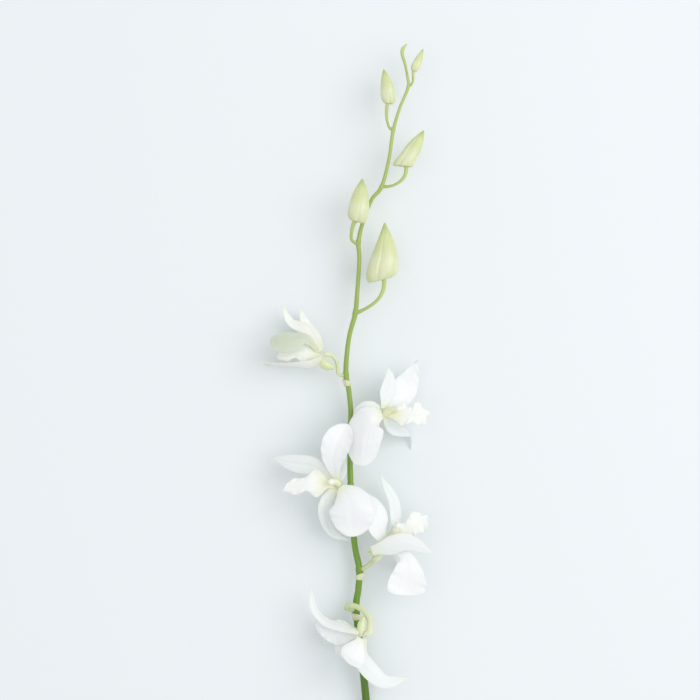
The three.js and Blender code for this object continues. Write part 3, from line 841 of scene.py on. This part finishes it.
def from_heart(route, heart, inward=1.0):
    points = [np.array(place[:3], float) for place in route]
    if np.linalg.norm(points[0]) < FAR_FOOT:
        points[0] = points[0] * inward
    radii = [place[3:] for place in route]
    return [[*(point + heart), *radius] for point, radius in zip(points, radii)]


def ovary_shape(turn, u, row):
    ribs = 0.05 * smooth((u - 0.4) * 3) * np.cos(6 * turn + 7 * u)
    return 1 + 0.35 * math.exp(-((u / 0.1) ** 2)) + ribs


def column_shape(turn, u, row):
    hood = 0.14 * math.exp(-(((u - 0.93) / 0.08) ** 2))
    hollow = 0.22 * bump(turn, math.pi / 2, 0.5) * math.exp(-(((u - 0.8) / 0.12) ** 2))
    return (1 + hood - hollow) * math.sqrt(max(1 - max((u - 0.94) / 0.065, 0) ** 2, 0.05))


for number, flower in enumerate(FLOWERS, 1):
    name = f"flower_{number}"
    heart = np.array(flower["heart"])
    young = number == len(FLOWERS)
    stalk = [*from_stem(flower["stalk"]),
             [*mix(np.array(flower["stalk"][-1][:3]), heart, 0.6), 1.2]]
    grow_round(f"fine_{name}_stalk", stalk, np.linspace(0, 1, 90), 28, ovary_shape,
               flower_stalk_skin, f"{name}_stalk")
    column = from_heart(flower["column"], heart)
    grow_round(f"fine_{name}_column", column, np.linspace(0, 1, 80), 28, column_shape,
               column_skin, f"{name}_column")
    lip = flower["lip"]
    facing = np.array(lip["faces"])
    grow_blade(f"fine_{name}_lip", from_heart(lip["route"], heart, INWARD),
               lip_outline(lip["side"], lip["middle"], lip["claw"]),
               lambda u: mix(*lip["curl"], smooth(u / 0.7)),
               lambda u: np.tile(facing, (len(u), 1)), LIP_THICKNESS, 1.15 * lip["ruffle"],
               young_flesh if young else lip_white, f"{name}_lip",
               rows=90, sides=56, keel=0.55, seed=number)
    for order, (petal, shape) in enumerate(flower["petals"].items()):
        foot, end = np.array(shape["faces"]), np.array(shape.get("turned", shape["faces"]))
        outline = petal_outline(*(shape[key] for key in ("width", "claw", "widest", "tip")),
                                shape.get("shoulder", 2.0))
        sepal = petal.endswith("sepal")
        flesh = young_flesh if young else sepal_white if sepal else petal_white
        # The outer left petal of the half-open flower gets the painted shade flesh: its darker grey
        # green stands in for the shade on its back.
        if young and petal == "left_petal":
            flesh = painted_shade_flesh
        grow_blade(f"fine_{name}_{petal}", from_heart(shape["route"], heart, INWARD), outline,
                   lambda u: np.full(len(u), shape["curl"]),
                   lambda u: foot + (end - foot) * smooth(u)[:, None],
                   PETAL_THICKNESS, shape.get("ruffle", 0) + 0.12, flesh,
                   f"{name}_{petal}", seed=number + order)
    print(name, "grown")

# %% [markdown]
# The pollen cap is a small white hood on the end of the column. It is one piece with a rounded top
# and sits a little proud of the column's tip.

# %% Pollen caps
CAP_LENGTH = 2.2
CAP_RADIUS = 1.55


cap_cream = petal_flesh("cap_cream", colour(240, 240, 222), colour(244, 244, 232),
                        colour(246, 246, 238), 0.3, colour(238, 238, 220), 0.6)


def cap_shape(turn, u, row):
    return (1 - 0.12 * bump(turn, math.pi / 2, 0.25)) * math.sqrt(1.02 - u**3)


for number, flower in enumerate(FLOWERS, 1):
    end = np.array(flower["column"][-1][:3]) + flower["heart"]
    before = np.array(flower["column"][-2][:3]) + flower["heart"]
    way = unit(end - before)
    stations = [[*(end - way * 0.8), CAP_RADIUS], [*(end + way * CAP_LENGTH / 2), CAP_RADIUS],
                [*(end + way * CAP_LENGTH), CAP_RADIUS * 0.5]]
    grow_round(f"fine_flower_{number}_cap", stations, np.linspace(0, 1, 24), 24, cap_shape,
               cap_cream)
print("pollen caps:", len(FLOWERS))

# %% [markdown]
# Every flower stalk leaves the stem above a small bract, and two longer sheaths clasp the bare lower
# joints. They are thin, dry at the edge, and wrapped round the stem by the same arc that rolls a
# petal, with the stem's own radius as the roll.

# %% Bracts and sheaths
BRACTS = [
    dict(start=146, side=[-1, 0, 0.3]),
    dict(start=167, side=[1, 0, 0.3]),
    dict(start=206.2, side=[-1, 0, 0]),
    dict(start=238.6, side=[1, 0, 0]),
    dict(start=268.4, side=[-1, 0, 0]),
]
BRACT_LENGTH = 4
BRACT_WRAP = 2.9
SHEATHS = [
    dict(start=26, side=[1, 0, 0.4]),
    dict(start=74, side=[-1, 0, 0.4]),
]
SHEATH_LENGTH = 15
SHEATH_WRAP = 2.7
BRACT_THICKNESS = 0.35
BRACT_CLEARANCE = 0.1


def clasp(name, start, length, side, wrap, skin):
    at = np.array((np.abs(stem_place[:, 1] - start).argmin() / (STEM_ROWS - 1),))
    place, heading, radius = (value[0] for value in follow(STEM, at))
    roll = radius + BRACT_CLEARANCE + BRACT_THICKNESS
    outward = np.array(side, float)
    outward = unit(outward - heading * (outward @ heading))
    foot = place + outward * roll
    grow_blade(f"fine_{name}", [foot, foot + heading * length],
               lambda u: roll * wrap * (1 - u**2) ** 0.7, lambda u: np.full(len(u), 1 / roll),
               lambda u: np.tile(-outward, (len(u), 1)), BRACT_THICKNESS, 0.05, skin,
               name, rows=30, sides=44)


for number, bract in enumerate(BRACTS, 1):
    clasp(f"bract_{number}", bract["start"], BRACT_LENGTH, bract["side"], BRACT_WRAP, bract_skin)
for number, sheath in enumerate(SHEATHS, 1):
    clasp(f"sheath_{number}", sheath["start"], SHEATH_LENGTH, sheath["side"], SHEATH_WRAP,
          sheath_skin)
print("bracts and sheaths:", len(BRACTS) + len(SHEATHS))

# %% [markdown]
# The spray lies on a pale table. A large key light stands to the right and a broad, weaker one hangs
# overhead, with a bright even sky: white petals need soft light, or their gentle folds burn out. The
# colour management is left plain so that whites stay white.

# %% Table and light
TABLE_SIZE = 6.0
table = bpy.data.meshes.new("table_top")
half = TABLE_SIZE / 2
table.from_pydata([(-half, -half, 0), (half, -half, 0), (half, half, 0), (-half, half, 0)], [],
                  [(0, 1, 2, 3)])
cloth = bpy.data.materials.new("table_paint")
cloth.use_nodes = True
paint = cloth.node_tree.nodes["Principled BSDF"]
paint.inputs["Base Color"].default_value = colour(236, 240, 242)
paint.inputs["Roughness"].default_value = 0.9
paint.inputs["Specular IOR Level"].default_value = 0.1
table.materials.append(cloth)
floor = bpy.data.objects.new("table_top", table)
bpy.context.scene.collection.objects.link(floor)


def lamp(name, place, aim, size, power, tint):
    data = bpy.data.lights.new(name, "AREA")
    data.size = size
    data.energy = power
    data.color = tint
    light = bpy.data.objects.new(name, data)
    light.location = place
    light.rotation_mode = "QUATERNION"
    light.rotation_quaternion = (Vector(aim) - Vector(place)).to_track_quat("-Z", "Y")
    bpy.context.scene.collection.objects.link(light)


lamp("key", (1.2, 0.35, 1.6), (0, 0.05, 0), 1.6, 16, (1.0, 0.99, 0.98))
lamp("overhead", (-0.3, 0.1, 2.2), (0, 0.05, 0), 2.0, 6, (0.97, 0.99, 1.0))
sky = bpy.data.worlds.new("sky")
sky.use_nodes = True
sky.node_tree.nodes["Background"].inputs["Color"].default_value = (0.96, 0.98, 1.0, 1)
sky.node_tree.nodes["Background"].inputs["Strength"].default_value = 0.7
bpy.context.scene.world = sky
bpy.context.scene.view_settings.view_transform = "Standard"

# %% [markdown]
# The camera looks straight down with the growing tip at the top. A long lens a metre away keeps the
# stem's thickness honest from end to end. The lowest part of the stem runs out of the frame.

# %% Camera
VIEW_WIDTH = 364.0
VIEW_CENTRE = np.array((0.0, 287.0, 16.0))
LENS = 100.0
SENSOR = 36.0
camera = bpy.data.objects.new("camera", bpy.data.cameras.new("camera"))
camera.data.lens = LENS
camera.data.sensor_width = SENSOR
distance = VIEW_WIDTH * LENS / SENSOR
camera.location = (VIEW_CENTRE + (0, 0, distance) - ORIGIN) * MM
bpy.context.scene.collection.objects.link(camera)
bpy.context.scene.camera = camera
print("camera height, m:", round(camera.location.z, 3))

# %% [markdown]
# Last, the scene is brought up to date.

# %% Finish
bpy.context.view_layer.update()
